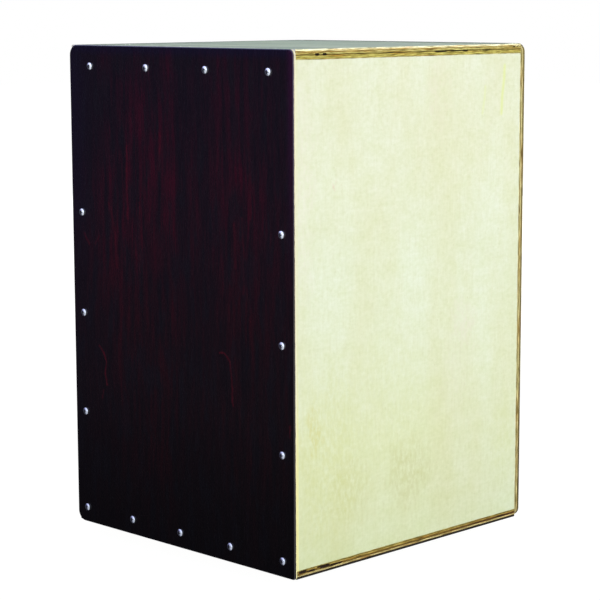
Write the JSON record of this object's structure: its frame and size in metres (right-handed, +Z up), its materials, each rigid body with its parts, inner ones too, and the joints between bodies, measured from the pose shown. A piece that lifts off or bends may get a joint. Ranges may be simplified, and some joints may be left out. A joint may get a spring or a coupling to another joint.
{
  "type": "cajon",
  "caption": "Box drum to sit on: plywood body with rounded long edges, dark stained playing plate screwed to inner battens, sound hole in the back, wire snare on a turning bar and rubber feet.",
  "frame": {"origin": "on the floor under the middle of the box, at the bottom face of the feet", "axes": "+Z up, the playing plate faces -Y, +X is the right-hand side of someone who looks at the playing plate"},
  "size_m": [0.306, 0.3192, 0.48],
  "materials": {
    "stained_veneer": "dark wine stain under satin varnish, pale ply edge",
    "birch_ply": "satin clear varnish on birch plywood",
    "pine": "planed, unvarnished",
    "beech": "turned and sanded, unvarnished",
    "plated_steel": "bright zinc plating",
    "spring_steel": "drawn wire and cut strip",
    "brass": "machined",
    "rubber": "matt black",
    "nylon": "natural white"
  },
  "bodies": {
    "cajon_body": {"tapa": "stained_veneer", "side_panel_left": "birch_ply", "side_panel_right": "birch_ply", "seat_panel": "birch_ply", "base_panel": "birch_ply", "back_panel": "birch_ply", "front_rail_top": "pine", "front_rail_bottom": "pine", "front_stile_left": "pine", "front_stile_right": "pine", "rear_rail_top": "pine", "rear_rail_bottom": "pine", "rear_stile_left": "pine", "rear_stile_right": "pine", "tapa_screws_top": "plated_steel", "tapa_screws_left": "plated_steel", "tapa_screws_right": "plated_steel", "tapa_screws_bottom": "plated_steel", "foot_front_left": "rubber", "foot_front_right": "rubber", "foot_rear_left": "rubber", "foot_rear_right": "rubber", "foot_washers": "plated_steel", "foot_screws": "plated_steel", "snare_block_left": "beech", "snare_block_right": "beech", "snare_block_screws": "plated_steel", "lock_insert": "brass"},
    "snare": {"snare_bar": "beech", "snare_plate_left": "spring_steel", "snare_plate_right": "spring_steel", "snare_wires_left": "spring_steel", "snare_wires_right": "spring_steel", "snare_plate_screws": "plated_steel"},
    "lock_pad": {"lock_pad": "nylon"},
    "lock_bolt": {"lock_bolt": "plated_steel"}
  },
  "joints": [
    {"name": "snare_tilt", "type": "hinge", "parent": "cajon_body", "child": "snare", "pos_m": [0, -0.116, 0.35], "axis": [-1, 0, 0], "range_deg": [0, 60]},
    {"name": "lock_travel", "type": "slide", "parent": "cajon_body", "child": "lock_pad", "axis": [0, 1, 0], "range_m": [0, 0.0004]},
    {"name": "lock_turn", "type": "hinge", "parent": "lock_pad", "child": "lock_bolt", "pos_m": [0.1285, -0.116, 0.35], "axis": [0, 1, 0], "range_deg": [0, 180]}
  ],
  "couplings": [
    {"joint": "lock_turn", "follows": "lock_travel", "rad_per_m": 7854}
  ]
}
